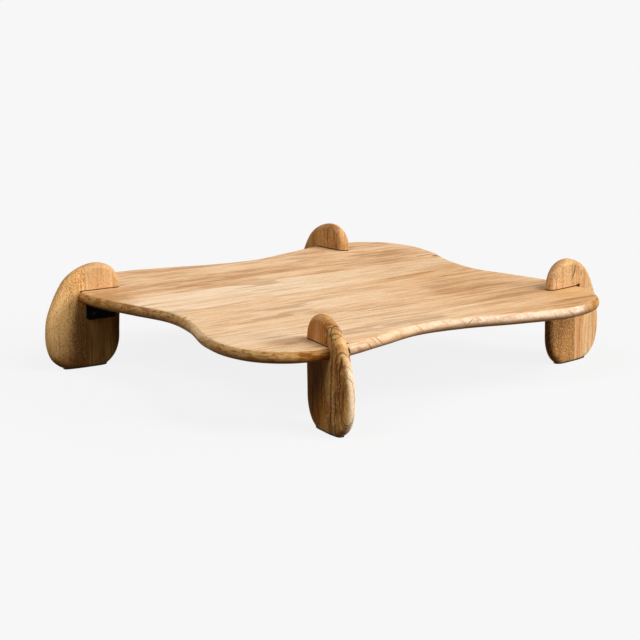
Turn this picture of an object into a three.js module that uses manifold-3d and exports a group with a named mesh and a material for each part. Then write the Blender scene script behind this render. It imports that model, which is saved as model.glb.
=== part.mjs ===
// Low table: a free-form top of glued staves with a round edge, gripped at its four sides by
// pebble-shaped plank legs. Each leg is glued up from two upright blocks, slotted for the top,
// tied to it by an angle bracket and stood on a thin foot pad.
// Millimetres, +Z up, the origin on the floor under the middle of the table, +X along the staves.

import * as THREE from 'three';
import { mergeVertices } from 'three/addons/utils/BufferGeometryUtils.js';
import Module from 'manifold-3d';

const wasm = await Module();
wasm.setup();

// Overall sizes
const tableHeight = 300; // floor to the crown of a leg

// Top
const topLength = 1232;
const topDepth = 1182;
const topThickness = 32;
const topSurfaceHeight = 218.6;

// Legs
const legThickness = 32;
const legWidth = 221.5;
const legAxisFromOuterEdge = 125.5; // where a leg's own upright axis lies across its width
const endLegStandOut = 84.5; // how far the left and right legs stand out past the top
const sideLegStandOut = 82; // how far the front and back legs stand out past the top
const legSeamFromAxis = 13; // glue seam between the two blocks, outwards of the axis
const legBelowFloor = 6; // how far the uncut pebble outline would dip below the floor
const footPadThickness = 4;

// Clearances
const glueGap = 0.3; // between glued neighbours
const slotGap = 0.3; // between the top's faces and the slot
const slotEndGap = 1; // between the top's round edge and the closed end of the slot
const plateGap = 0.3; // between a bracket and the wood, and under the screw heads
const screwGap = 0.3; // round a screw's shank and past its tip
const cutOverrun = 40; // how far a cutting tool reaches past what it cuts

// Angle brackets
const bracketLength = 90;
const bracketDrop = 50; // flange on the leg
const bracketReach = 44; // flange under the top
const bracketThickness = 4;
const bracketFromAxis = 34; // middle of the bracket, inwards of the leg's axis
const bracketCorner = 8;
const bracketInnerBend = 1;

// Screws
const screwLength = 24;
const screwRadius = 2;
const screwHeadRadius = 4.5;
const screwHeadHeight = 2.6;
const screwCrownRadius = 3;
const screwTipLength = 5;
const screwFromBracketEnd = 20;
const screwFromFlangeEdge = 20;

// Fineness
const topOutlineSteps = 112;
const legOutlineSteps = 52;
const soleOutlineSteps = 130;
const edgeBands = 6;
const screwSides = 12;
const cornerSteps = 4;

// Derived heights
const topUnderside = topSurfaceHeight - topThickness;
const topMiddle = topSurfaceHeight - topThickness / 2;

// Half of the outline of the top, anticlockwise from the middle of the right side: shares of half
// the length and half the depth. A half turn gives the other half.
const topOutlineShares = [
  [0.873, 0.0], [0.899, 0.234], [0.981, 0.499], [0.998, 0.702],
  [0.949, 0.86], [0.834, 0.966], [0.622, 0.998], [0.36, 0.928],
  [0.115, 0.855], [-0.117, 0.871], [-0.363, 0.936], [-0.632, 0.977],
  [-0.841, 0.908], [-0.956, 0.751], [-0.982, 0.499], [-0.926, 0.223],
];

// Outline of a leg seen square on, anticlockwise from its inner side: shares of the width, from
// the outer edge, and of the height of the uncut pebble, from its lowest point.
const legOutlineShares = [
  [0.988, 0.389], [0.997, 0.571], [1.0, 0.7], [0.975, 0.848], [0.905, 0.933], [0.8, 0.982],
  [0.66, 1.0], [0.5, 0.977], [0.354, 0.925], [0.242, 0.852], [0.147, 0.74], [0.07, 0.616],
  [0.02, 0.505], [0.0, 0.373], [0.011, 0.241], [0.07, 0.122], [0.196, 0.04], [0.363, 0.008],
  [0.567, 0.0], [0.77, 0.018], [0.905, 0.099], [0.973, 0.215],
];

// Joints between the staves, from the near edge to the far edge: shares of half the depth, at the
// left and at the right end. The boards are a little tapered.
const staveJointShares = [
  [-0.832, -0.822], [-0.668, -0.643], [-0.516, -0.482], [-0.364, -0.296],
  [-0.228, -0.135], [-0.05, 0.1], [0.12, 0.22], [0.32, 0.347],
  [0.49, 0.494], [0.643, 0.651], [0.812, 0.826],
];

// Where the legs stand: which quarter turn from the right side a leg grips, how far its axis lies
// along that side as a share of half the side, how far it is turned from square to the side, and
// its own width and height against the common ones.
const legPlaces = [
  { name: 'left', quarter: 2, alongShare: -0.64, turnDegrees: -2.1, widthShare: 1.04, heightShare: 0.983 },
  { name: 'front', quarter: 3, alongShare: -0.651, turnDegrees: -6.3, widthShare: 0.955, heightShare: 0.968 },
  { name: 'right', quarter: 0, alongShare: -0.602, turnDegrees: 8.8, widthShare: 1, heightShare: 1 },
  { name: 'back', quarter: 1, alongShare: -0.606, turnDegrees: 6.4, widthShare: 1.01, heightShare: 0.988 },
];

// Materials
const staveColours = [
  '#c2894f', '#cd955b', '#b98350', '#d09a61', '#c58c52', '#cf975c',
  '#dba96f', '#e0b27a', '#bd8350', '#c68d57', '#d3a069', '#cb9762',
];
const legColours = { outer: '#cf9a5f', upper: '#b97a42', lower: '#a3683a' };
const bracketMetal = { color: '#161514', roughness: 0.55, metalness: 0.6 };
const screwMetal = { color: '#1c1b1a', roughness: 0.4, metalness: 0.8 };
const padFelt = { color: '#141312', roughness: 0.95, metalness: 0 };

function wood(color) {
  return new THREE.MeshStandardMaterial({ color, roughness: 0.5, metalness: 0 });
}

function toSolid(geometry) {
  const bare = geometry.clone();
  bare.deleteAttribute('normal');
  bare.deleteAttribute('uv');
  const merged = mergeVertices(bare);
  return new wasm.Manifold(new wasm.Mesh({
    numProp: 3,
    vertProperties: new Float32Array(merged.attributes.position.array),
    triVerts: new Uint32Array(merged.index.array),
  }));
}

function toGeometry(solid) {
  const mesh = solid.getMesh();
  const geometry = new THREE.BufferGeometry();
  geometry.setAttribute('position', new THREE.BufferAttribute(mesh.vertProperties, 3));
  geometry.setIndex(new THREE.BufferAttribute(mesh.triVerts, 1));
  geometry.computeVertexNormals();
  return geometry;
}

function moved(geometry, x, y, z) {
  return geometry.clone().translate(x, y, z);
}

function box(low, high) {
  const size = high.clone().sub(low);
  const middle = high.clone().add(low).multiplyScalar(0.5);
  return toSolid(moved(new THREE.BoxGeometry(size.x, size.y, size.z), middle.x, middle.y, middle.z));
}

// A smooth closed outline through the given points, stretched to fill the given span exactly.
function smoothOutline(points, steps, low, high) {
  const curve = new THREE.CatmullRomCurve3(points.map(([x, y]) => new THREE.Vector3(x, y, 0)), true);
  const samples = curve.getPoints(steps).slice(0, steps);
  const span = new THREE.Box3().setFromPoints(samples);
  return samples.map((p) => new THREE.Vector2(
    THREE.MathUtils.mapLinear(p.x, span.min.x, span.max.x, low.x, high.x),
    THREE.MathUtils.mapLinear(p.y, span.min.y, span.max.y, low.y, high.y),
  ));
}

function outlineNormals(outline) {
  return outline.map((p, i) => {
    const next = outline[(i + 1) % outline.length];
    const last = outline[(i + outline.length - 1) % outline.length];
    return new THREE.Vector2(next.y - last.y, last.x - next.x).normalize();
  });
}

// A flat plank with the given outline whose whole edge is a half round: rings of points from its
// underside to its upper side, about the plane z = 0.
function roundEdgedPlank(outline, thickness) {
  const normals = outlineNormals(outline);
  const count = outline.length;
  const radius = thickness / 2;
  const positions = [];
  const rings = [];
  for (let band = 0; band <= edgeBands; band += 1) {
    const angle = Math.PI * (band / edgeBands - 1 / 2);
    const inset = radius * (1 - Math.cos(angle));
    const ring = outline.map((p, i) => p.clone().addScaledVector(normals[i], -inset));
    rings.push(ring);
    ring.forEach((p) => positions.push(p.x, p.y, radius * Math.sin(angle)));
  }
  const triangles = [];
  for (let band = 0; band < edgeBands; band += 1) {
    for (let i = 0; i < count; i += 1) {
      const a = band * count + i;
      const b = band * count + (i + 1) % count;
      triangles.push(a, b, b + count, a, b + count, a + count);
    }
  }
  const top = edgeBands * count;
  THREE.ShapeUtils.triangulateShape(rings[edgeBands], [])
    .forEach(([a, b, c]) => triangles.push(top + a, top + b, top + c));
  THREE.ShapeUtils.triangulateShape(rings[0], [])
    .forEach(([a, b, c]) => triangles.push(c, b, a));
  const geometry = new THREE.BufferGeometry();
  geometry.setAttribute('position', new THREE.Float32BufferAttribute(positions, 3));
  geometry.setIndex(triangles);
  return geometry;
}

// A rectangle with rounded corners; the corners at the lower and the upper side are set apart.
function roundedRectangle(low, high, lowerRadius, upperRadius) {
  const shape = new THREE.Shape();
  const corner = (x, y, radius, start) => {
    if (radius > 0) shape.absarc(x, y, radius, start, start + Math.PI / 2, false);
    else shape.lineTo(x, y);
  };
  shape.moveTo(low.x + lowerRadius, low.y);
  corner(high.x - lowerRadius, low.y + lowerRadius, lowerRadius, -Math.PI / 2);
  corner(high.x - upperRadius, high.y - upperRadius, upperRadius, 0);
  corner(low.x + upperRadius, high.y - upperRadius, upperRadius, Math.PI / 2);
  corner(low.x + lowerRadius, low.y + lowerRadius, lowerRadius, Math.PI);
  return shape;
}

function extruded(shape, depth) {
  return new THREE.ExtrudeGeometry(shape, { depth, bevelEnabled: false, curveSegments: cornerSteps });
}

// Top

const halfLength = topLength / 2;
const halfDepth = topDepth / 2;

function topOutline(grow) {
  const half = topOutlineShares;
  const points = [...half, ...half.map(([x, y]) => [-x, -y])];
  const outline = smoothOutline(
    points, topOutlineSteps,
    new THREE.Vector2(-halfLength, -halfDepth), new THREE.Vector2(halfLength, halfDepth),
  );
  const normals = outlineNormals(outline);
  return outline.map((p, i) => p.clone().addScaledVector(normals[i], grow));
}

const topSolid = toSolid(moved(roundEdgedPlank(topOutline(0), topThickness), 0, 0, topMiddle));
const slotShape = moved(
  roundEdgedPlank(topOutline(slotEndGap), topThickness + 2 * slotGap), 0, 0, topMiddle,
);

// The upright slice of space that one stave fills, between two joints.
function staveSlice(lower, upper) {
  const reach = halfLength + cutOverrun;
  const steepness = (joint) => (joint[1] - joint[0]) * halfDepth / (2 * halfLength);
  const at = (joint, x) => (joint[0] + joint[1]) / 2 * halfDepth + steepness(joint) * x;
  const shape = new THREE.Shape([
    new THREE.Vector2(-reach, at(lower, -reach) + glueGap / 2),
    new THREE.Vector2(reach, at(lower, reach) + glueGap / 2),
    new THREE.Vector2(reach, at(upper, reach) - glueGap / 2),
    new THREE.Vector2(-reach, at(upper, -reach) - glueGap / 2),
  ]);
  const depth = topThickness + 2 * cutOverrun;
  return toSolid(moved(extruded(shape, depth), 0, 0, topUnderside - cutOverrun));
}

// Legs, each in its own frame: x inwards from the leg's axis, y across its thickness, z up

const legFace = legThickness / 2;

function legPlace(place) {
  const width = legWidth * place.widthShare;
  const height = tableHeight * place.heightShare;
  const outerEdge = legAxisFromOuterEdge * place.widthShare;
  const turn = THREE.MathUtils.degToRad(place.turnDegrees);
  const reach = (outerEdge - legFace) * Math.cos(turn) + legFace;
  const atEnd = place.quarter % 2 === 0;
  const outermost = atEnd ? halfLength + endLegStandOut : halfDepth + sideLegStandOut;
  const along = place.alongShare * (atEnd ? halfDepth : halfLength);
  const side = place.quarter * Math.PI / 2;
  const angle = side + Math.PI + turn;
  const origin = new THREE.Vector3(outermost - reach, along, 0)
    .applyAxisAngle(new THREE.Vector3(0, 0, 1), side);
  const matrix = new THREE.Matrix4().makeRotationZ(angle).setPosition(origin);
  return { width, height, outerEdge, origin, angle, matrix };
}

// The outline of a leg seen square on: x inwards, y up.
function legOutline(stand, steps) {
  return smoothOutline(
    legOutlineShares, steps, new THREE.Vector2(-stand.outerEdge, -legBelowFloor),
    new THREE.Vector2(stand.width - stand.outerEdge, stand.height),
  );
}

function legBlank(stand) {
  const outline = legOutline(stand, legOutlineSteps);
  const pebble = toSolid(roundEdgedPlank(outline, legThickness).rotateX(Math.PI / 2));
  const belowSole = box(
    new THREE.Vector3(-stand.width, -legThickness, -cutOverrun),
    new THREE.Vector3(stand.width, legThickness, footPadThickness),
  );
  return pebble.subtract(belowSole);
}

// The pad covers the flat sole, which is widest where the half-round edge is cut deepest.
function footPad(stand) {
  const outline = legOutline(stand, soleOutlineSteps);
  const normals = outlineNormals(outline);
  const farSide = outline.flatMap((p, i) => {
    if (p.y >= footPadThickness) return [];
    const inset = Math.min((p.y - footPadThickness) / normals[i].y, legFace);
    const half = Math.sqrt(inset * (legThickness - inset));
    return [new THREE.Vector2(p.x - normals[i].x * inset, half)];
  });
  const nearSide = farSide.map((p) => new THREE.Vector2(p.x, -p.y));
  const shape = new THREE.Shape([...nearSide, ...farSide.reverse()]);
  return extruded(shape, footPadThickness);
}

// Angle brackets and screws, in the leg's frame

const plateFace = -legFace - plateGap; // the flange's back
const plateTop = topUnderside - plateGap;
const bracketStart = bracketFromAxis - bracketLength / 2;
const bracketEnd = bracketFromAxis + bracketLength / 2;

function bracketSection() {
  const outerBend = bracketInnerBend + bracketThickness;
  const bendY = plateFace - outerBend;
  const bendZ = plateTop - outerBend;
  const shape = new THREE.Shape();
  shape.moveTo(plateFace - bracketReach, plateTop);
  shape.lineTo(plateFace - bracketReach, plateTop - bracketThickness);
  shape.lineTo(bendY, plateTop - bracketThickness);
  shape.absarc(bendY, bendZ, bracketInnerBend, Math.PI / 2, 0, true);
  shape.lineTo(plateFace - bracketThickness, plateTop - bracketDrop);
  shape.lineTo(plateFace, plateTop - bracketDrop);
  shape.lineTo(plateFace, bendZ);
  shape.absarc(bendY, bendZ, outerBend, 0, Math.PI / 2, false);
  return shape;
}

function bracketBody() {
  // The section's own x and y become the leg's y and z.
  const swing = new THREE.Matrix4().makeBasis(
    new THREE.Vector3(0, 1, 0), new THREE.Vector3(0, 0, 1), new THREE.Vector3(1, 0, 0),
  ).setPosition(bracketStart, 0, 0);
  const angle = toSolid(extruded(bracketSection(), bracketLength).applyMatrix4(swing));
  const upright = roundedRectangle(
    new THREE.Vector2(bracketStart, plateTop - bracketDrop),
    new THREE.Vector2(bracketEnd, plateTop + cutOverrun), bracketCorner, 0,
  );
  const level = roundedRectangle(
    new THREE.Vector2(bracketStart, plateFace - bracketReach),
    new THREE.Vector2(bracketEnd, plateFace + cutOverrun), bracketCorner, 0,
  );
  const depth = 2 * (legThickness + bracketReach + cutOverrun);
  const uprightTool = toSolid(moved(extruded(upright, depth).rotateX(Math.PI / 2), 0, depth / 2, 0));
  const levelTool = toSolid(extruded(level, topSurfaceHeight));
  return angle.intersect(uprightTool).intersect(levelTool);
}

function screwBody() {
  const profile = [
    new THREE.Vector2(0, -screwLength),
    new THREE.Vector2(screwRadius, screwTipLength - screwLength),
    new THREE.Vector2(screwRadius, 0),
    new THREE.Vector2(screwHeadRadius, 0),
    new THREE.Vector2(screwHeadRadius, screwHeadHeight / 2),
    new THREE.Vector2(screwCrownRadius, screwHeadHeight),
    new THREE.Vector2(0, screwHeadHeight),
  ];
  return new THREE.LatheGeometry(profile, screwSides);
}

// Screws point along the lathe's own -y; the leg's screws run along +y of the leg, the top's up.
function screwPlaces() {
  const along = [bracketStart + screwFromBracketEnd, bracketEnd - screwFromBracketEnd];
  const legScrewHeight = plateTop - bracketDrop + screwFromFlangeEdge;
  const topScrewDepth = plateFace - bracketReach + screwFromFlangeEdge;
  const legScrews = along.map((x, i) => ({
    name: `bracket_leg_screw_${i + 1}`,
    matrix: new THREE.Matrix4().makeRotationX(Math.PI)
      .setPosition(x, plateFace - bracketThickness - plateGap, legScrewHeight),
  }));
  const topScrews = along.map((x, i) => ({
    name: `bracket_top_screw_${i + 1}`,
    matrix: new THREE.Matrix4().makeRotationX(-Math.PI / 2)
      .setPosition(x, topScrewDepth, plateTop - bracketThickness - plateGap),
  }));
  return { legScrews, topScrews };
}

// A straight hole along a screw, wide enough to clear its shank.
function screwHole(matrix) {
  const radius = screwRadius + screwGap;
  const length = screwLength + screwGap;
  const hole = new THREE.CylinderGeometry(radius, radius, length + bracketThickness, screwSides);
  return toSolid(moved(hole, 0, (bracketThickness - length) / 2, 0).applyMatrix4(matrix));
}

function cutHoles(solid, matrices) {
  return matrices.reduce((rest, matrix) => rest.subtract(screwHole(matrix)), solid);
}

// Assembly

const table = new THREE.Group();

function addMesh(group, name, geometry, material) {
  const mesh = new THREE.Mesh(geometry, material);
  mesh.name = name;
  group.add(mesh);
}

const topScrewMatrices = [];

legPlaces.forEach((place) => {
  const stand = legPlace(place);
  const leg = new THREE.Group();
  leg.position.copy(stand.origin);
  leg.rotation.z = stand.angle;
  table.add(leg);

  const { legScrews, topScrews } = screwPlaces();
  const legMatrices = legScrews.map((screw) => screw.matrix);
  const topMatrices = topScrews.map((screw) => screw.matrix);
  topMatrices.forEach((screw) => topScrewMatrices.push(stand.matrix.clone().multiply(screw)));
  const slot = toSolid(slotShape.clone().applyMatrix4(stand.matrix.clone().invert()));
  const slotted = cutHoles(legBlank(stand).subtract(slot), legMatrices);

  const reach = stand.width + cutOverrun;
  const space = (lowX, lowZ, highX, highZ) => box(
    new THREE.Vector3(lowX, -legThickness, lowZ), new THREE.Vector3(highX, legThickness, highZ),
  );
  const innerStart = -legSeamFromAxis + glueGap / 2;
  const ceiling = tableHeight + cutOverrun;
  const blocks = {
    outer: space(-reach, -cutOverrun, -legSeamFromAxis - glueGap / 2, ceiling),
    upper: space(innerStart, topMiddle, reach, ceiling),
    lower: space(innerStart, -cutOverrun, reach, topMiddle),
  };
  Object.entries(blocks).forEach(([block, tool]) => {
    const geometry = toGeometry(slotted.intersect(tool));
    addMesh(leg, `${place.name}_leg_${block}_block`, geometry, wood(legColours[block]));
  });

  addMesh(leg, `${place.name}_foot_pad`, footPad(stand), new THREE.MeshStandardMaterial(padFelt));
  const bracket = cutHoles(bracketBody(), [...legMatrices, ...topMatrices]);
  const metal = new THREE.MeshStandardMaterial(bracketMetal);
  addMesh(leg, `${place.name}_bracket`, toGeometry(bracket), metal);
  [...legScrews, ...topScrews].forEach((screw) => {
    const geometry = screwBody().applyMatrix4(screw.matrix);
    addMesh(leg, `${place.name}_${screw.name}`, geometry, new THREE.MeshStandardMaterial(screwMetal));
  });
});

const drilledTop = cutHoles(topSolid, topScrewMatrices);
const outerJoint = (halfDepth + cutOverrun) / halfDepth;
const joints = [[-outerJoint, -outerJoint], ...staveJointShares, [outerJoint, outerJoint]];
joints.slice(1).forEach((upper, i) => {
  const stave = drilledTop.intersect(staveSlice(joints[i], upper));
  const name = `top_stave_${String(i + 1).padStart(2, '0')}`;
  addMesh(table, name, toGeometry(stave), wood(staveColours[i]));
});

export default table;
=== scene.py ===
"""Low table: a free-form top of glued honey-coloured staves on four pebble-shaped plank legs."""

import math

import bmesh
import bpy
from mathutils import Matrix, Vector


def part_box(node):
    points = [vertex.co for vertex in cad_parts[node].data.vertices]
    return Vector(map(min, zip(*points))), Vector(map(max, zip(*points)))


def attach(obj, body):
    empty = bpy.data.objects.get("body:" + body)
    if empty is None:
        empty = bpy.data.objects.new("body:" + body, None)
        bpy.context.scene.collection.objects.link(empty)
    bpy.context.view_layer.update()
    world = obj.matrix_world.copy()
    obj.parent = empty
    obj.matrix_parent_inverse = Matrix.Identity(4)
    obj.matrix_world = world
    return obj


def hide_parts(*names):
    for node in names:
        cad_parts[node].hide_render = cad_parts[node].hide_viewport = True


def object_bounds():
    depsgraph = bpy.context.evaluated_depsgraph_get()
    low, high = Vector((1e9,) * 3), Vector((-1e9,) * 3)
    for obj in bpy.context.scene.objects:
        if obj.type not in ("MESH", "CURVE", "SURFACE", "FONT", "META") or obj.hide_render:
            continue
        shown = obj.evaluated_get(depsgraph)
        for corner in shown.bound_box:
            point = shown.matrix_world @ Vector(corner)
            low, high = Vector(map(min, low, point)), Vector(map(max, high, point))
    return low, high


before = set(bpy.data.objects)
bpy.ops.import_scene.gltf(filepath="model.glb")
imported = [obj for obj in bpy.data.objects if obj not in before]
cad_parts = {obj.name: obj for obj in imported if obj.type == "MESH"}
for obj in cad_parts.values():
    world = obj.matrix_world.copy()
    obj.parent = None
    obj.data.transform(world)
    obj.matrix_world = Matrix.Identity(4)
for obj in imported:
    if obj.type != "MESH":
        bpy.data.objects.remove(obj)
cad_low, cad_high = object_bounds()
scene = bpy.context.scene
scene.view_settings.view_transform = "Standard"

MM = 0.001
CUT_TOLERANCE = 1e-7

# Camera, at the photograph's viewing angle
CAMERA_PLACE = (-2.9109, -4.1006, 1.2466)
CAMERA_HEADING_DEGREES = 35.03
CAMERA_DIP_DEGREES = 12.538
CAMERA_LENS = 102.51
CAMERA_FILM_WIDTH = 36
CAMERA_SIGHT = 200

# Top
STAVE_COUNT = 12
TOP_OUTLINE_STEPS = 720
TOP_EDGE_BANDS = 20
SLOT_GAP = 0.3 * MM
PAST_EDGE = 40 * MM

# Half of the outline of the top, anticlockwise from the middle of the right side: shares of half
# the length and half the depth. A half turn gives the other half.
TOP_OUTLINE_SHARES = [
    (0.873, 0.0), (0.899, 0.234), (0.981, 0.499), (0.998, 0.702),
    (0.949, 0.86), (0.834, 0.966), (0.622, 0.998), (0.36, 0.928),
    (0.115, 0.855), (-0.117, 0.871), (-0.363, 0.936), (-0.632, 0.977),
    (-0.841, 0.908), (-0.956, 0.751), (-0.982, 0.499), (-0.926, 0.223),
]

# Joints between the staves, from the near edge to the far edge: shares of half the depth, at the
# left and at the right end.
STAVE_JOINT_SHARES = [
    (-0.832, -0.822), (-0.668, -0.643), (-0.516, -0.482), (-0.364, -0.296),
    (-0.228, -0.135), (-0.05, 0.1), (0.12, 0.22), (0.32, 0.347),
    (0.49, 0.494), (0.643, 0.651), (0.812, 0.826),
]

# Legs
LEG_THICKNESS = 32 * MM
LEG_WIDTH = 221.5 * MM
LEG_AXIS_FROM_OUTER_EDGE = 125.5 * MM
LEG_SEAM_FROM_AXIS = 13 * MM
LEG_BELOW_FLOOR = 6 * MM
LEG_OUTLINE_STEPS = 220
LEG_EDGE_BANDS = 16
LEG_FIRST_SEED = 20.0

# Outline of a leg seen square on, anticlockwise from its inner side: shares of the width, from
# the outer edge, and of the height of the uncut pebble, from its lowest point.
LEG_OUTLINE_SHARES = [
    (0.988, 0.389), (0.997, 0.571), (1.0, 0.7), (0.975, 0.848), (0.905, 0.933), (0.8, 0.982),
    (0.66, 1.0), (0.5, 0.977), (0.354, 0.925), (0.242, 0.852), (0.147, 0.74), (0.07, 0.616),
    (0.02, 0.505), (0.0, 0.373), (0.011, 0.241), (0.07, 0.122), (0.196, 0.04), (0.363, 0.008),
    (0.567, 0.0), (0.77, 0.018), (0.905, 0.099), (0.973, 0.215),
]

# Where the legs stand: the quarter turn from the right side that a leg grips, its axis along that
# side as a share of half the side, its turn from square to the side, its own width and height.
LEG_PLACES = {
    "left": {
        "quarter": 2, "along_share": -0.64, "turn_degrees": -2.1, "width_share": 1.04,
        "height_share": 0.983,
    },
    "front": {
        "quarter": 3, "along_share": -0.651, "turn_degrees": -6.3, "width_share": 0.955,
        "height_share": 0.968,
    },
    "right": {
        "quarter": 0, "along_share": -0.602, "turn_degrees": 8.8, "width_share": 1.0,
        "height_share": 1.0,
    },
    "back": {
        "quarter": 1, "along_share": -0.606, "turn_degrees": 6.4, "width_share": 1.01,
        "height_share": 0.988,
    },
}

# How far each slot runs on past the edge of the top
SLOT_END_GAPS = {"left": 1.2 * MM, "front": 2.5 * MM, "right": 7 * MM, "back": 1.2 * MM}

# Angle brackets
PLATE_GAP = 0.3 * MM
BRACKET_LENGTH = 90 * MM
BRACKET_DROP = 50 * MM
BRACKET_REACH = 44 * MM
BRACKET_THICKNESS = 4 * MM
BRACKET_FROM_AXIS = 34 * MM
BRACKET_CORNER = 8 * MM
BRACKET_INNER_BEND = 1 * MM
BRACKET_EDGE_ROUND = 0.6 * MM
BRACKET_EDGE_DEGREES = 50
BEND_STEPS = 10
CORNER_STEPS = 8
EDGE_ROUND_STEPS = 3

# Screws
SCREW_LENGTH = 24 * MM
SCREW_RADIUS = 2 * MM
SCREW_HEAD_RADIUS = 4.5 * MM
SCREW_HEAD_HEIGHT = 2.6 * MM
SCREW_TIP_LENGTH = 5 * MM
SCREW_THREAD_PITCH = 1.6 * MM
SCREW_THREAD_DEPTH = 0.35 * MM
SCREW_RECESS_RADIUS = 1.7 * MM
SCREW_RECESS_DEPTH = 1.5 * MM
SCREW_FROM_BRACKET_END = 20 * MM
SCREW_FROM_FLANGE_EDGE = 20 * MM
SCREW_HEAD_SIDES = 32
SCREW_DOME_RINGS = 6
SCREW_SHANK_SIDES = 16
SCREW_SHANK_RINGS = 60

# Foot pads
PAD_EDGE_ROUND = 0.5 * MM
PAD_EDGE_DEGREES = 30


def make_camera():
    heading = math.radians(CAMERA_HEADING_DEGREES)
    dip = math.radians(CAMERA_DIP_DEGREES)
    look = Vector((
        math.sin(heading) * math.cos(dip), math.cos(heading) * math.cos(dip), -math.sin(dip),
    ))
    data = bpy.data.cameras.new("photo_view")
    data.lens = CAMERA_LENS
    data.sensor_width = CAMERA_FILM_WIDTH
    data.clip_end = CAMERA_SIGHT
    camera = bpy.data.objects.new("photo_view", data)
    camera.location = CAMERA_PLACE
    camera.rotation_euler = look.to_track_quat("-Z", "Y").to_euler()
    scene.collection.objects.link(camera)
    scene.camera = camera


make_camera()


# Sizes taken from the frame

stave_nodes = [f"top_stave_{number:02d}" for number in range(1, STAVE_COUNT + 1)]
stave_boxes = [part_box(node) for node in stave_nodes]
top_low = Vector([min(low[axis] for low, _ in stave_boxes) for axis in range(3)])
top_high = Vector([max(high[axis] for _, high in stave_boxes) for axis in range(3)])
HALF_LENGTH = (top_high.x - top_low.x) / 2
HALF_DEPTH = (top_high.y - top_low.y) / 2
TOP_THICKNESS = top_high.z - top_low.z
TOP_MIDDLE = (top_high.z + top_low.z) / 2
TABLE_HEIGHT = cad_high.z
PAD_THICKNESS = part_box("left_foot_pad")[1].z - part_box("left_foot_pad")[0].z


# Outlines and planks

def spline_piece(points, start):
    """A function of 0 to 1 along the centripetal spline from point start to the next one."""
    a, b, c, d = (points[(start + i) % len(points)] for i in (-1, 0, 1, 2))
    first, middle, last = (math.sqrt((q - p).length) for p, q in ((a, b), (b, c), (c, d)))
    leave = ((b - a) / first - (c - a) / (first + middle) + (c - b) / middle) * middle
    arrive = ((c - b) / middle - (d - b) / (middle + last) + (d - c) / last) * middle

    def at(t):
        cubic = (2 * b - 2 * c + leave + arrive) * t ** 3
        square = (-3 * b + 3 * c - 2 * leave - arrive) * t ** 2
        return cubic + square + leave * t + b

    return at


def smooth_outline(shares, steps, low, high):
    """A smooth closed outline through the given points, stretched to fill the given span."""
    points = [Vector(share) for share in shares]
    samples = []
    for step in range(steps):
        place = step / steps * len(points)
        samples.append(spline_piece(points, int(place))(place - int(place)))
    least = Vector([min(p[axis] for p in samples) for axis in range(2)])
    most = Vector([max(p[axis] for p in samples) for axis in range(2)])

    def stretched(p, axis):
        share = (p[axis] - least[axis]) / (most[axis] - least[axis])
        return low[axis] + share * (high[axis] - low[axis])

    return [Vector((stretched(p, 0), stretched(p, 1))) for p in samples]


def outline_normals(outline):
    normals = []
    for i in range(len(outline)):
        along = outline[(i + 1) % len(outline)] - outline[i - 1]
        normals.append(Vector((along.y, -along.x)).normalized())
    return normals


def round_edged_plank(outline, thickness, bands):
    """A plank about z = 0 whose whole edge is a half round."""
    plank = bmesh.new()
    radius = thickness / 2
    normals = outline_normals(outline)
    rings = []
    for band in range(bands + 1):
        angle = math.pi * (band / bands - 1 / 2)
        inset = radius * (1 - math.cos(angle))
        height = radius * math.sin(angle)
        ring = [(p - n * inset).to_3d() + Vector((0, 0, height)) for p, n in zip(outline, normals)]
        rings.append([plank.verts.new(place) for place in ring])
    for lower, upper in zip(rings, rings[1:]):
        for i in range(len(outline)):
            plank.faces.new((lower[i - 1], lower[i], upper[i], upper[i - 1]))
    plank.faces.new(rings[-1])
    plank.faces.new(list(reversed(rings[0])))
    return plank


def cut(solid, point, direction):
    """Cuts away what lies behind the plane through point and closes the wound."""
    geometry = solid.verts[:] + solid.edges[:] + solid.faces[:]
    bmesh.ops.bisect_plane(
        solid, geom=geometry, dist=CUT_TOLERANCE, plane_co=point, plane_no=direction,
        clear_inner=True,
    )
    rim = [edge for edge in solid.edges if edge.is_boundary]
    bmesh.ops.holes_fill(solid, edges=rim, sides=0)


def top_outline(grow):
    shares = TOP_OUTLINE_SHARES + [(-x, -y) for x, y in TOP_OUTLINE_SHARES]
    outline = smooth_outline(
        shares, TOP_OUTLINE_STEPS, (-HALF_LENGTH, -HALF_DEPTH), (HALF_LENGTH, HALF_DEPTH),
    )
    return [p + n * grow for p, n in zip(outline, outline_normals(outline))]


# Objects

def link(name, mesh):
    piece = bpy.data.objects.new(name, mesh)
    scene.collection.objects.link(piece)
    return piece


def to_object(name, solid):
    mesh = bpy.data.meshes.new(name)
    solid.to_mesh(mesh)
    solid.free()
    return link(name, mesh)


def apply_modifiers(piece):
    """Turns the modifiers' result into the piece's own plain mesh."""
    bpy.context.view_layer.update()
    evaluated = piece.evaluated_get(bpy.context.evaluated_depsgraph_get())
    mesh = bpy.data.meshes.new_from_object(evaluated)
    piece.modifiers.clear()
    old = piece.data
    piece.data = mesh
    bpy.data.meshes.remove(old)
    mesh.name = piece.name


def smooth(piece, crease_degrees=35):
    """Soft shading that keeps flat faces flat and true edges crisp."""
    mesh = piece.data
    mesh.polygons.foreach_set("use_smooth", [True] * len(mesh.polygons))
    mesh.set_sharp_from_angle(angle=math.radians(crease_degrees))
    weighted = piece.modifiers.new("flat_faces", "WEIGHTED_NORMAL")
    weighted.keep_sharp = True
    weighted.weight = 100
    apply_modifiers(piece)


def finish_piece(piece, material, slot, *replaced):
    piece.data.materials.clear()
    piece.data.materials.append(material)
    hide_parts(*replaced)
    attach(piece, "root")


def set_point_numbers(mesh, name, value):
    attribute = mesh.attributes.new(name, "FLOAT", "POINT")
    attribute.data.foreach_set("value", [value] * len(mesh.vertices))


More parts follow.
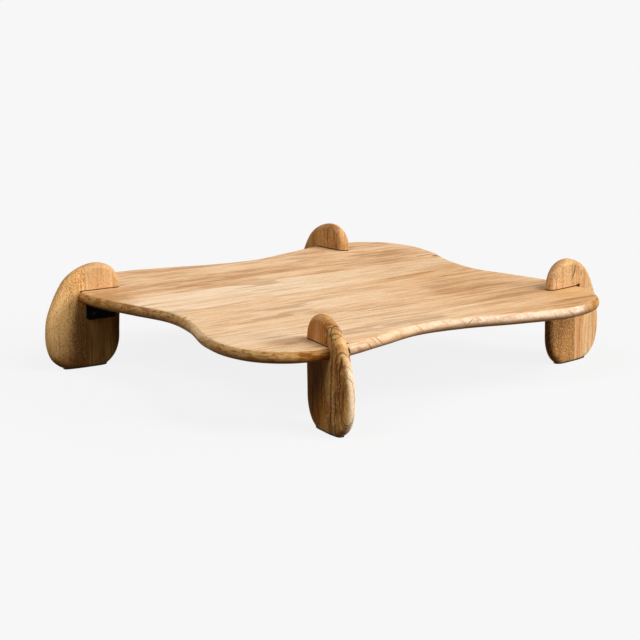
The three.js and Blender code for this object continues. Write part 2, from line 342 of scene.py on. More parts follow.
def set_point_vectors(mesh, name, vectors):
    attribute = mesh.attributes.new(name, "FLOAT_VECTOR", "POINT")
    attribute.data.foreach_set("vector", [number for vector in vectors for number in vector])


# Shader building

def tone(code):
    """A colour written as #rrggbb, as the linear values that a shader takes."""
    channels = [int(code[i:i + 2], 16) / 255 for i in (1, 3, 5)]
    linear = [c / 12.92 if c <= 0.04045 else ((c + 0.055) / 1.055) ** 2.4 for c in channels]
    return (*linear, 1.0)


def sum_by(operation, swapped=False):
    """The method behind one of Value's signs, such as + or *."""
    def add_node(value, other):
        a, b = (other, value) if swapped else (value, other)
        return value.sketch.combine(operation, a, b)

    return add_node


class Value:
    """A node's output. A sum with it adds a node, of numbers or of vectors."""

    def __init__(self, sketch, socket):
        self.sketch = sketch
        self.socket = socket

    __add__ = sum_by("ADD")
    __sub__ = sum_by("SUBTRACT")
    __rsub__ = sum_by("SUBTRACT", swapped=True)
    __mul__ = sum_by("MULTIPLY")
    __truediv__ = sum_by("DIVIDE")

    def __abs__(self):
        return self.sketch.math("ABSOLUTE", self)


def is_vector(value):
    if isinstance(value, Value):
        return value.socket.type in ("VECTOR", "RGBA")
    return isinstance(value, tuple)


class Sketch:
    """Short words for adding nodes to a tree; inputs are numbers, tuples, #rrggbb or Values."""

    def __init__(self, tree):
        self.tree = tree

    def node(self, kind, **settings):
        made = self.tree.nodes.new(kind)
        for key, value in settings.items():
            setattr(made, key, value)
        return made

    def put(self, socket, value):
        if isinstance(value, Value):
            self.tree.links.new(value.socket, socket)
        elif socket.type == "RGBA" and isinstance(value, str):
            socket.default_value = tone(value)
        else:
            socket.default_value = value

    def feed(self, made, *values, **named):
        """Gives a node its inputs, in order or by name, and hands it back."""
        for socket, value in zip(made.inputs, values):
            self.put(socket, value)
        for name, value in named.items():
            self.put(made.inputs[name.replace("_", " ")], value)
        return made

    def outs(self, made):
        return {socket.name: Value(self, socket) for socket in made.outputs}

    def add(self, kind, *values, output=0, settings=None, **named):
        """Adds a node, gives it its inputs and hands back one of its outputs."""
        made = self.feed(self.node(kind, **(settings or {})), *values, **named)
        return Value(self, made.outputs[output])

    def math(self, operation, *values, clamp=False):
        settings = {"operation": operation, "use_clamp": clamp}
        return self.add("ShaderNodeMath", *values, settings=settings)

    def vector(self, operation, *values, output=0, **named):
        settings = {"operation": operation}
        return self.add("ShaderNodeVectorMath", *values, output=output, settings=settings, **named)

    def combine(self, operation, a, b):
        """Numbers with numbers, vectors with vectors, or a vector times a number."""
        if is_vector(a) and is_vector(b):
            return self.vector(operation, a, b)
        if is_vector(a):
            return self.vector("SCALE", a, Scale=b)
        if is_vector(b):
            return self.vector("SCALE", b, Scale=a)
        return self.math(operation, a, b)

    def most(self, a, b):
        return self.math("MAXIMUM", a, b)

    def length(self, vector):
        return self.vector("LENGTH", vector, output="Value")

    def split(self, vector):
        made = self.feed(self.node("ShaderNodeSeparateXYZ"), vector)
        return [Value(self, socket) for socket in made.outputs]

    def join(self, x, y, z):
        return self.add("ShaderNodeCombineXYZ", x, y, z)

    def noise(self, place, detail=2.0, roughness=0.5, scale=1.0, output="Fac"):
        return self.add(
            "ShaderNodeTexNoise", output=output, Vector=place, Scale=scale, Detail=detail,
            Roughness=roughness,
        )

    def step(self, value, low, high, start=0.0, end=1.0):
        """Goes smoothly from start to end as value goes from low to high."""
        settings = {"interpolation_type": "SMOOTHSTEP"}
        return self.add("ShaderNodeMapRange", value, low, high, start, end, settings=settings)

    def mix(self, factor, a, b, blend="MIX"):
        made = self.node("ShaderNodeMix", data_type="RGBA", blend_type=blend)
        for index, value in ((0, factor), (6, a), (7, b)):
            self.put(made.inputs[index], value)
        return Value(self, made.outputs[2])

    def group(self, tree, **values):
        return self.outs(self.feed(self.node("ShaderNodeGroup", node_tree=tree), **values))

    def mask(self, tree, **values):
        return self.group(tree, **values)["Mask"]

    def attribute(self, name, output="Fac"):
        return self.add("ShaderNodeAttribute", output=output, settings={"attribute_name": name})

    def object_place(self):
        return self.add("ShaderNodeTexCoord", output="Object")

    def normal(self):
        return self.add("ShaderNodeNewGeometry", output="Normal")

    def deliver(self, **values):
        """Feeds the group's outputs and hands back its tree."""
        self.feed(self.node("NodeGroupOutput"), **values)
        return self.tree


VECTOR = "NodeSocketVector"
NUMBER = "NodeSocketFloat"


def shader_group(name, inputs, outputs=("Mask",)):
    """A new shader group. An input is a vector or a default number, an output a number."""
    tree = bpy.data.node_groups.new(name, "ShaderNodeTree")
    for label, default in inputs.items():
        kind = VECTOR if default == VECTOR else NUMBER
        made = tree.interface.new_socket(label, in_out="INPUT", socket_type=kind)
        if kind == NUMBER:
            made.default_value = default
    for label in outputs:
        tree.interface.new_socket(label, in_out="OUTPUT", socket_type=NUMBER)
    s = Sketch(tree)
    return s, s.outs(s.node("NodeGroupInput"))


# The usual spread of a noise's values
NOISE_SPAN = (0.3, 0.7)

# How finely each part of the grain varies: waves per metre along, across and through the board
BEND_WAVES = (1.9, 6.0, 6.0)
DASH_WAVES = (9.0, 105.0, 105.0)
FIBRE_WAVES = (11.0, 640.0, 640.0)
PORE_WAVES = (85.0, 720.0, 720.0)
BLOTCH_WAVES = (3.2, 15.0, 15.0)
MOTTLE_WAVES = (26.0, 26.0, 40.0)
EDGE_MOTTLE_WAVES = (44.0, 44.0, 90.0)
EDGE_BRUSH_WAVES = (26.0, 26.0, 320.0)
VEIN_WAVES = (9.0, 24.0, 24.0)

# The lines in the grain, by the streaks: how much finer they are
LINE_FINENESS = (1.6, 3.1, 1.0)
HEART_DEPTH = 0.07
WAVER = 24 * MM
OPEN_PORE_SHARE = 0.34

# The slanting lines in a rounded edge: waves per metre across and along them
SLANT_WAVES = 62.0
SLANT_LENGTH_WAVES = 9.0
SLANT_WITH_Y = 0.35

# A group's seed moves its noise to another place
GRAIN_SHIFT = (7.31, 1.73, 3.17)
MOTTLE_SHIFT = (2.1, 5.3, 1.9)
FLECK_SHIFT = (3.7, 1.1, 6.3)
VEIN_SHIFT = (4.9, 2.3, 8.1)

# How far in from the flat faces the rounded edge fades in, and below its middle its underside
EDGE_SPAN = (0.5 * MM, 3 * MM)
UNDERSIDE_SPAN = (-5 * MM, 11 * MM)

FLECK_LENGTH_SHARE = 2.4
VEIN_LEVEL = 0.5
KNOT_LINE_WIDTH = 0.1
CRACK_WAVES = 34.0
CRACK_FADE = 10 * MM


def grain_group():
    """Sawn grain. Place runs along, across and through the board, in metres."""
    s, given = shader_group(
        "sawn_grain",
        {"Place": VECTOR, "Seed": 0.0, "Heart Offset": 0.02, "Streak Width": 0.02,
         "Streak Length": 0.4},
        ("Streak", "Line", "Dash", "Fibre", "Pore", "Blotch"),
    )
    shift = given["Seed"] * GRAIN_SHIFT
    along, across, through = s.split(given["Place"])
    board = given["Place"] + shift
    bend = (s.noise(board * BEND_WAVES, output="Color") - (0.5, 0.5, 0.5)) * WAVER
    _, bend_across, bend_through = s.split(bend)
    from_heart_across = across + bend_across - given["Heart Offset"]
    from_heart_through = through + bend_through + HEART_DEPTH
    ring = s.length(s.join(from_heart_across, from_heart_through, 0.0))
    streak_place = s.join(along / given["Streak Length"], ring / given["Streak Width"], 0.0) + shift
    followed = board + bend
    pores = s.node("ShaderNodeTexVoronoi")
    pores = s.outs(s.feed(pores, Vector=followed * PORE_WAVES, Scale=1.0))
    rarity = s.split(pores["Color"])[0]
    open_pore = s.math("LESS_THAN", rarity, OPEN_PORE_SHARE)
    return s.deliver(
        Streak=s.noise(streak_place, 4.0, 0.62),
        Line=s.noise(streak_place * LINE_FINENESS),
        Dash=s.noise(followed * DASH_WAVES, 4.0, 0.72),
        Fibre=s.noise(followed * FIBRE_WAVES),
        Pore=s.step(pores["Distance"], 0.42, 0.18) * open_pore,
        Blotch=s.noise(board * BLOTCH_WAVES),
    )


def patch_group():
    """A soft ragged oval: 1 in its middle, 0 outside."""
    s, given = shader_group(
        "soft_patch", {"Place": VECTOR, "Centre": VECTOR, "Reach": VECTOR, "Raggedness": 0.5},
    )
    away = (given["Place"] - given["Centre"]) / given["Reach"]
    wander = s.noise(away * (1.2, 2.6, 2.6), 3.0, 0.6)
    distance = s.length(away) + (wander - 0.5) * given["Raggedness"]
    return s.deliver(Mask=s.step(distance, 1.0, 0.25))


def knot_ring_group():
    """The thin dark outline of an oval knot."""
    s, given = shader_group("knot_ring", {"Place": VECTOR, "Centre": VECTOR, "Reach": VECTOR})
    away = (given["Place"] - given["Centre"]) / given["Reach"]
    wander = s.noise(away * (1.1, 1.1, 1.1), 3.0, 0.6)
    from_line = abs(s.length(away) + (wander - 0.5) - 1.0)
    return s.deliver(Mask=s.step(from_line, KNOT_LINE_WIDTH, 0.0))


def end_grain_group():
    """How far a face is cut across the grain, and its mottled colour there."""
    s, given = shader_group(
        "end_grain", {"Place": VECTOR, "Grain Axis": VECTOR, "Seed": 0.0}, ("Mask", "Mottle"),
    )
    facing = abs(s.vector("DOT_PRODUCT", s.normal(), given["Grain Axis"], output="Value"))
    spread = given["Place"] * MOTTLE_WAVES + given["Seed"] * MOTTLE_SHIFT
    return s.deliver(Mask=s.step(facing, 0.3, 0.85), Mottle=s.noise(spread, 4.0, 0.65))


def rounded_edge_group():
    """The edge of a board that lies flat, rounded and smoothed by sanding: where it is, and what
    the cut shows there.
    """
    s, given = shader_group(
        "rounded_edge",
        {"Place": VECTOR, "Middle Height": 0.2, "Flat Height": 0.018, "Seed": 0.0},
        ("Edge", "Under", "Front", "Mottle", "Brush", "Line"),
    )
    across_end = s.split(s.normal())[0]
    x, y, z = s.split(given["Place"])
    below_flat = given["Flat Height"] - abs(z - given["Middle Height"])
    mottle_place = given["Place"] * EDGE_MOTTLE_WAVES + given["Seed"] * MOTTLE_SHIFT
    across_lines = (x + y * SLANT_WITH_Y + z) * SLANT_WAVES
    along_lines = (x - z) * SLANT_LENGTH_WAVES
    return s.deliver(
        Edge=s.step(below_flat, *EDGE_SPAN),
        Under=s.step(given["Middle Height"] - z, *UNDERSIDE_SPAN),
        Front=s.step(abs(across_end), 0.45, 0.25),
        Mottle=s.noise(mottle_place, 4.0, 0.66),
        Brush=s.noise(given["Place"] * EDGE_BRUSH_WAVES, 2.0, 0.6),
        Line=s.noise(s.join(across_lines, along_lines, 0.0), 3.0, 0.6),
    )


def fleck_group():
    """Short pale and dark flecks, where the cut shows the wood's rays."""
    s, given = shader_group(
        "ray_flecks", {"Place": VECTOR, "Seed": 0.0, "Size": 0.0034, "Pale Level": 0.56},
        ("Pale", "Dark"),
    )
    size = given["Size"]
    spread = given["Place"] / s.join(size * FLECK_LENGTH_SHARE, size, size)
    grains = s.noise(spread + given["Seed"] * FLECK_SHIFT, 1.0)
    level = given["Pale Level"]
    return s.deliver(Pale=s.step(grains, level, level + 0.12), Dark=s.step(grains, 0.43, 0.3))


def vein_group():
    """Thin dark wandering lines, the edges of once-damp zones in the wood."""
    s, given = shader_group("dark_veins", {"Place": VECTOR, "Seed": 0.0, "Width": 0.01})
    spread = given["Place"] * VEIN_WAVES + given["Seed"] * VEIN_SHIFT
    from_line = abs(s.noise(spread, 2.5, 0.45) - VEIN_LEVEL)
    return s.deliver(Mask=s.step(from_line, given["Width"], 0.0))


def long_crack_group():
    """A dark line that wanders along the grain between two ends."""
    s, given = shader_group(
        "long_crack",
        {"Place": VECTOR, "Across": 0.0, "Slant": 0.0, "Start": 0.0, "End": 0.1,
         "Wander": 0.01, "Width": 0.0024},
    )
    along, across, _ = s.split(given["Place"])
    drift = s.noise(s.join(along * CRACK_WAVES, given["Across"], 0.0), 3.0) - 0.5
    line = given["Across"] + drift * given["Wander"] + along * given["Slant"]
    thin = s.step(abs(across - line), given["Width"], 0.0)
    after_start = s.step(along, given["Start"], given["Start"] + CRACK_FADE)
    before_end = s.step(along, given["End"], given["End"] - CRACK_FADE)
    return s.deliver(Mask=thin * (after_start * before_end))


GRAIN = grain_group()
KNOT_RING = knot_ring_group()
LONG_CRACK = long_crack_group()
PATCH = patch_group()
END_GRAIN = end_grain_group()
ROUNDED_EDGE = rounded_edge_group()
FLECKS = fleck_group()
VEINS = vein_group()


def blank_material(name):
    material = bpy.data.materials.new(name)
    material.use_nodes = True
    material.node_tree.nodes.clear()
    return material, Sketch(material.node_tree)


def new_material(name):
    material, s = blank_material(name)
    shader = s.node("ShaderNodeBsdfPrincipled")
    s.feed(s.node("ShaderNodeOutputMaterial"), s.outs(shader)["BSDF"])
    return material, s, shader


def bump(s, shader, height, distance, strength=1.0):
    normal = s.add("ShaderNodeBump", Height=height, Distance=distance, Strength=strength)
    s.feed(shader, Normal=normal)


# Wood

DULL_GLOSS = 0.03
GRAIN_RELIEF = 0.1 * MM
GRAIN_RELIEF_SHARE = 0.6


def fibred(s, colour, grain, darkest, palest):
    """The colour with the fine fibres of the grain in it."""
    fibre = s.step(grain["Fibre"], *NOISE_SPAN, darkest, palest)
    return s.mix(1.0, colour, s.join(fibre, fibre, fibre), "MULTIPLY")


def finish_wood(s, shader, grain, colour, smoothest, roughest):
    roughness = s.step(grain["Fibre"], 0.2, 0.8, smoothest, roughest)
    s.feed(shader, Base_Color=colour, Roughness=roughness, Specular_IOR_Level=DULL_GLOSS)
    bump(s, shader, grain["Fibre"] * 0.4 - grain["Pore"], GRAIN_RELIEF, GRAIN_RELIEF_SHARE)


def crack(across, start, end, slant=0.0, wander=0.02, width=2.4 * MM):
    """A long crack's place across the grain, its ends along it and its course, in metres."""
    return {
        "Across": across, "Start": start, "End": end, "Slant": slant, "Wander": wander,
        "Width": width,
    }


# Top wood

STAVE_PALE = "#f8ddbb"
STAVE_MIDDLE = "#efc69a"
STAVE_DEEP = "#c99865"
FIGURE_BROWN = "#966233"
END_GOLD = "#d0a05c"
END_GRAIN_AND_SHADOW_BROWN = "#8a5218"
UNDERSIDE_SHADE_BROWN = "#8f5714"
EDGE_HIGHLIGHT_CREAM = "#fde6cc"
LINE_BROWN = "#7d4f26"
JOINT_AND_SHADE_BROWN = "#6b4426"
KNOT_BROWN = "#40200a"
HIGHLIGHT_GOLD = "#ffd8a2"
GOLDEN_TINT = "#f9f0e3"

# Tone of each stave, from the near edge: 0 is deep, 1 is pale
STAVE_TONES = [0.5, 0.7, 0.62, 0.56, 0.62, 0.54, 0.8, 0.88, 0.42, 0.36, 0.44, 0.34]

# Places on the top are in metres, along and across it from its middle.
# Darker figured places: centre, half length and half width, strength
TOP_FIGURES = [
    ((0.33, -0.23), (0.26, 0.08), 0.6),
    ((-0.12, 0.31), (0.36, 0.05), 0.65),
    ((-0.42, 0.26), (0.24, 0.035), 0.7),
    ((0.38, 0.37), (0.07, 0.03), 0.9),
    ((0.30, 0.03), (0.24, 0.05), 0.6),
    ((-0.46, -0.47), (0.10, 0.05), 0.5),
    ((-0.56, 0.24), (0.07, 0.16), 0.55),
    ((0.50, -0.50), (0.20, 0.14), 1.0),
    ((0.45, 0.38), (0.14, 0.14), 0.7),
    ((0.42, 0.02), (0.24, 0.28), 0.4),
    ((0.42, -0.40), (0.30, 0.15), 0.7),
]

# A painted reflection of the right leg, a golden place on the top beside it, and a painted
# highlight, the palest place on the rounded edge: centre, half length and half width
RIGHT_LEG_REFLECTION = ((0.54, -0.44), (0.13, 0.13))
EDGE_HIGHLIGHT_PLACE = ((-0.575, -0.235), (0.06, 0.18))

# Small dark knots, and two small dark spots on the edge beside the front leg: centre and half
# length
TOP_KNOTS = [
    ((0.558, 0.230), 0.014), ((-0.53, -0.09), 0.008),
    ((-0.355, -0.571), 0.007), ((-0.362, -0.588), 0.007),
]
KNOT_WIDTH_SHARE = 0.7
TOP_CRACK = crack(0.206, 0.5, 0.575, slant=0.094, wander=0.008, width=7 * MM)

# Slanting cracks in the rounded edge: place along the top at floor height, lower and upper end
EDGE_CRACKS = [
    crack(0.016, 0.19, 0.222, slant=-1.25, wander=0.012, width=3.5 * MM),
    crack(-0.061, 0.186, 0.214, slant=-1.1, wander=0.012, width=3.5 * MM),
    crack(-0.229, 0.194, 0.218, slant=1.5, wander=0.012, width=3.5 * MM),
]

# How strongly each thing shows on the top, from 0 to 1
BLOTCH_FIGURE = 0.4
FIGURE_DEPTH = 0.36
DARK_STREAKS = 0.5
THIN_LINES = 0.4
LEG_REFLECTION = 0.4
END_GILDING = 0.78
FRONT_LEG_SHADOW = 0.4
SLANTING_CRACKS = 0.85
UNDER_SHADE = 0.62
OPEN_PORES = 0.45
KNOTS = 0.95
THIN_CRACK = 0.8

# The near right part of the top is a little more golden: where that begins along and across it
GOLDEN_SPAN_ALONG = (-0.1, 0.3)
GOLDEN_SPAN_ACROSS = (0.3, 0.1)

# Along the front edge, the painted cream highlight grows stronger to the right
HIGHLIGHT_SPAN_ALONG = (-0.25, 0.25)

# Where along the top the front leg ends, and with it the painted shadow of the leg on the edge, and
# where the painted cream highlight of the front edge begins; and where that gives way to the golden
# wood of the right end
FRONT_LEG_END = (-0.40, -0.37)
RIGHT_END_START = (0.40, 0.52)


def flat_patch(s, plan, centre, reach, raggedness=0.5):
    """A soft patch on the top; plan is the place seen from above, at height 0."""
    return s.mask(
        PATCH, Place=plan, Centre=(*centre, 0.0), Reach=(*reach, 1.0), Raggedness=raggedness,
    )


def stave_colour(s, grain, paleness, plan):
    """The planed face: each stave its own tone, with streaks, dashes and darker figure, and a
    painted reflection of the right leg.
    """
    figured = s.step(grain["Blotch"], 0.5, 0.8) * BLOTCH_FIGURE
    for centre, reach, strength in TOP_FIGURES:
        figured = s.most(figured, flat_patch(s, plan, centre, reach, 0.9) * strength)
    streak = s.step(grain["Streak"], *NOISE_SPAN, -0.17, 0.17)
    dash = s.step(grain["Dash"], 0.38, 0.6, -0.21, 0.14)
    lightness = paleness + (streak + dash)
    lightness = s.math("SUBTRACT", lightness, figured * FIGURE_DEPTH, clamp=True)
    colour = s.mix(s.step(lightness, 0.0, 0.55), STAVE_DEEP, STAVE_MIDDLE)
    colour = s.mix(s.step(lightness, 0.45, 1.0), colour, STAVE_PALE)
    dark_streak = s.step(grain["Streak"], 0.54, 0.42) * figured * DARK_STREAKS
    thin_line = s.step(grain["Line"], 0.58, 0.64) * THIN_LINES
    colour = s.mix(s.most(dark_streak, thin_line), colour, FIGURE_BROWN)
    along_top, across_top, _ = s.split(plan)
    at_right = s.step(along_top, *GOLDEN_SPAN_ALONG)
    near_right = at_right * s.step(across_top, *GOLDEN_SPAN_ACROSS)
    colour = s.mix(near_right, colour, GOLDEN_TINT, "MULTIPLY")
    # Painted reflection of the right leg: a golden place on the top beside it
    return s.mix(flat_patch(s, plan, *RIGHT_LEG_REFLECTION) * LEG_REFLECTION, colour, END_GOLD)


def edge_colour(s, colour, place, plan, seed):
    """The round edge: a painted cream highlight along its front and back, stronger to the right and
    on its upper half; painted shade underneath; a painted shadow of the front leg; a painted
    highlight on the near left; golden end grain at the ends.
    """
    along_top, _, height = s.split(place)
    edge = s.group(
        ROUNDED_EDGE, Place=place, Middle_Height=TOP_MIDDLE, Flat_Height=TOP_THICKNESS / 2,
        Seed=seed,
    )
    past_front_leg = s.step(along_top, *FRONT_LEG_END)
    # Painted highlight: cream on the front and back of the rounded edge, stronger on its upper half
    # and towards the right
    highlighted_front = edge["Front"] * s.step(along_top, *RIGHT_END_START, 1.0, 0.0) * past_front_leg
    mottled = s.step(edge["Mottle"], 0.38, 0.62, 0.38, 0.98)
    highlight_to_right = s.step(along_top, *HIGHLIGHT_SPAN_ALONG, 0.4, 1.0)
    highlight_above = s.step(edge["Under"], 0.7, 0.2, 0.35, 1.0)
    cream = mottled * highlight_to_right * highlighted_front * highlight_above
    colour = s.mix(cream * edge["Edge"], colour, EDGE_HIGHLIGHT_CREAM)

    at_end = edge["Edge"] * (1.0 - highlighted_front)
    colour = s.mix(at_end * END_GILDING, colour, END_GOLD)
    brown = s.step(edge["Mottle"] * 0.6 + edge["Brush"] * 0.4, 0.46, 0.56, 0.08, 0.72)
    # Painted shadow of the front leg: the edge beside it is browned, on top of the mottled
    # end-grain brown
    front_leg_shadow = (1.0 - past_front_leg) * edge["Front"]
    brown = s.math("ADD", brown, front_leg_shadow * FRONT_LEG_SHADOW, clamp=True)
    colour = s.mix(at_end * brown, colour, END_GRAIN_AND_SHADOW_BROWN)
    # Painted highlight: the palest place on the upper half of the rounded edge at the near left
    edge_highlight = flat_patch(s, plan, *EDGE_HIGHLIGHT_PLACE) * s.step(edge["Under"], 0.3, 0.0, 0.0, 0.9)
    colour = s.mix(edge_highlight * edge["Edge"], colour, HIGHLIGHT_GOLD)

    slanted = s.step(edge["Line"], 0.54, 0.68, 0.0, 0.42)
    for edge_crack in EDGE_CRACKS:
        split = s.mask(LONG_CRACK, Place=s.join(height, along_top, 0.0), **edge_crack)
        slanted = s.most(slanted, split * SLANTING_CRACKS)
    colour = s.mix(slanted * edge["Edge"], colour, LINE_BROWN)
    # Painted shade: the underside of the rounded edge is darkened, with a darker painted line along
    # its lowest part
    colour = s.mix(edge["Under"] * UNDER_SHADE, colour, UNDERSIDE_SHADE_BROWN)
    underside_shade_line = s.step(edge["Under"], 0.85, 1.0, 0.0, 0.5)
    return s.mix(underside_shade_line * edge["Edge"], colour, JOINT_AND_SHADE_BROWN)


def top_material():
    material, s, shader = new_material("honey_stave_wood")
    along, from_lower, from_upper = s.split(s.attribute("board_place", "Vector"))
    seed = s.attribute("board_seed")
    place = s.object_place()
    plan = place * (1.0, 1.0, 0.0)
    height = s.split(place)[2]
    grain_place = s.join(along, (from_lower - from_upper) * 0.5, height - TOP_MIDDLE)
    heart = s.step(s.noise(s.join(seed, 0.5, 0.5), scale=3.1), *NOISE_SPAN, -0.12, 0.12)
    grain = s.group(GRAIN, Place=grain_place, Seed=seed, Heart_Offset=heart)
    colour = stave_colour(s, grain, s.attribute("board_tone"), plan)
    colour = edge_colour(s, colour, place, plan, seed)
    colour = fibred(s, colour, grain, 0.9, 1.06)
    colour = s.mix(grain["Pore"] * OPEN_PORES, colour, FIGURE_BROWN)
    for centre, half_length in TOP_KNOTS:
        reach = (half_length, half_length * KNOT_WIDTH_SHARE)
        colour = s.mix(flat_patch(s, plan, centre, reach, 0.7) * KNOTS, colour, KNOT_BROWN)
    split = s.mask(LONG_CRACK, Place=plan, **TOP_CRACK)
    colour = s.mix(split * THIN_CRACK, colour, LINE_BROWN)
    from_joint = s.math("MINIMUM", from_lower, from_upper)
    colour = s.mix(s.step(from_joint, 0.6 * MM, 0.1 * MM, 0.0, 0.4), colour, JOINT_AND_SHADE_BROWN)
    finish_wood(s, shader, grain, colour, 0.42, 0.56)
    return material


def stave_place(lower, upper):
    """A point's place along its board and its distances from the board's two joints."""
    def line(joint):
        slope = (joint[1] - joint[0]) * HALF_DEPTH / (2 * HALF_LENGTH)
        return (joint[0] + joint[1]) / 2 * HALF_DEPTH, slope

    lower_middle, lower_slope = line(lower)
    upper_middle, upper_slope = line(upper)

    def place_of(co):
        from_lower = co.y - lower_middle - lower_slope * co.x
        from_upper = upper_middle + upper_slope * co.x - co.y
        return co.x, from_lower, from_upper

    planes = (
        (Vector((0, lower_middle, 0)), Vector((-lower_slope, 1, 0))),
        (Vector((0, upper_middle, 0)), Vector((upper_slope, -1, 0))),
    )
    return place_of, planes


def make_staves():
    material = top_material()
    slab = round_edged_plank(top_outline(0), TOP_THICKNESS, TOP_EDGE_BANDS)
    bmesh.ops.translate(slab, verts=slab.verts, vec=(0, 0, TOP_MIDDLE))
    past_edge = 1 + PAST_EDGE / HALF_DEPTH
    joints = [(-past_edge, -past_edge), *STAVE_JOINT_SHARES, (past_edge, past_edge)]
    for number, node in enumerate(stave_nodes):
        place_of, planes = stave_place(joints[number], joints[number + 1])
        board = slab.copy()
        for point, direction in planes:
            cut(board, point, direction)
        piece = to_object(f"stave_{number + 1:02d}", board)
        smooth(piece)
        mesh = piece.data
        set_point_vectors(mesh, "board_place", [place_of(v.co) for v in mesh.vertices])
        set_point_numbers(mesh, "board_seed", number + 1.0)
        set_point_numbers(mesh, "board_tone", STAVE_TONES[number])
        finish_piece(piece, material, "top_wood", node)
    slab.free()


make_staves()


# Legs

def leg_matrix(name):
    place = LEG_PLACES[name]
    outer_edge = LEG_AXIS_FROM_OUTER_EDGE * place["width_share"]
    turn = math.radians(place["turn_degrees"])
    half = LEG_THICKNESS / 2
    reach = (outer_edge - half) * math.cos(turn) + half
    low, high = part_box(f"{name}_leg_outer_block")
    outermost = [high.x, high.y, -low.x, -low.y][place["quarter"]]
    at_end = place["quarter"] % 2 == 0
    along = place["along_share"] * (HALF_DEPTH if at_end else HALF_LENGTH)
    side = place["quarter"] * math.pi / 2
    origin = Matrix.Rotation(side, 4, "Z") @ Vector((outermost - reach, along, 0))
    return Matrix.Translation(origin) @ Matrix.Rotation(side + math.pi + turn, 4, "Z")


def leg_outline(name):
    """The outline of a leg seen square on: x inwards, y up."""
    place = LEG_PLACES[name]
    width = LEG_WIDTH * place["width_share"]
    outer_edge = LEG_AXIS_FROM_OUTER_EDGE * place["width_share"]
    return smooth_outline(
        LEG_OUTLINE_SHARES, LEG_OUTLINE_STEPS,
        (-outer_edge, -LEG_BELOW_FLOOR), (width - outer_edge, TABLE_HEIGHT * place["height_share"]),
    )


def leg_blank(name):
    pebble = round_edged_plank(leg_outline(name), LEG_THICKNESS, LEG_EDGE_BANDS)
    upright = Matrix.Rotation(math.pi / 2, 3, "X")
    bmesh.ops.rotate(pebble, verts=pebble.verts, cent=(0, 0, 0), matrix=upright)
    cut(pebble, Vector((0, 0, PAD_THICKNESS)), Vector((0, 0, 1)))
    return pebble


def slotted(blank, matrix, end_gap):
    """The blank with the top's slot cut in it, in the leg's own frame."""
    leg = to_object("leg_blank", blank)
    tool = round_edged_plank(top_outline(end_gap), TOP_THICKNESS + 2 * SLOT_GAP, TOP_EDGE_BANDS)
    bmesh.ops.translate(tool, verts=tool.verts, vec=(0, 0, TOP_MIDDLE))
    tool.transform(matrix.inverted())
    cutter = to_object("slot_cutter", tool)
    boolean = leg.modifiers.new("slot", "BOOLEAN")
    boolean.object = cutter
    boolean.operation = "DIFFERENCE"
    boolean.solver = "EXACT"
    apply_modifiers(leg)
    result = bmesh.new()
    result.from_mesh(leg.data)
    for spent in (leg, cutter):
        mesh = spent.data
        bpy.data.objects.remove(spent)
        bpy.data.meshes.remove(mesh)
    return result


# Leg wood

PALE_FLECK = "#ffdaa2"
DARK_FLECK = "#633a14"
PAINTED_LIGHT_GOLD = "#ffca80"
DEEP_SHADE = "#70400c"
RIM_HIGHLIGHT = "#ffe4c0"
VEIN_AND_SLOT_SHADE_BROWN = "#2f1b0d"
FACE_SHADE_AND_END_BROWN = "#8a501c"

# Wood of each leg block: pale and deep colour; streak contrast and, in metres, streak length;
# shares of pale and dark flecks, their size in metres, and a level that gives more pale flecks the
# lower it is; shares of dark veins, of painted shade that browns the flat faces ("face") and of a
# painted cream highlight on the right-hand half of the round edge ("right"). Then come patches of
# painted light and of darker colour, knot rings, cracks and stains. They are placed in metres: up,
# inwards and sideways in the leg.
PLAIN_WOOD = {
    "streaks": 0.7, "streak_length": 0.3, "flecks": (0.0, 0.0), "fleck_size": 2.4 * MM,
    "pale_level": 0.56, "veins": 0.0, "face": 0.0, "right": 0.0,
    "painted_light": [], "deeper": [], "rings": [], "cracks": [], "stains": [],
}

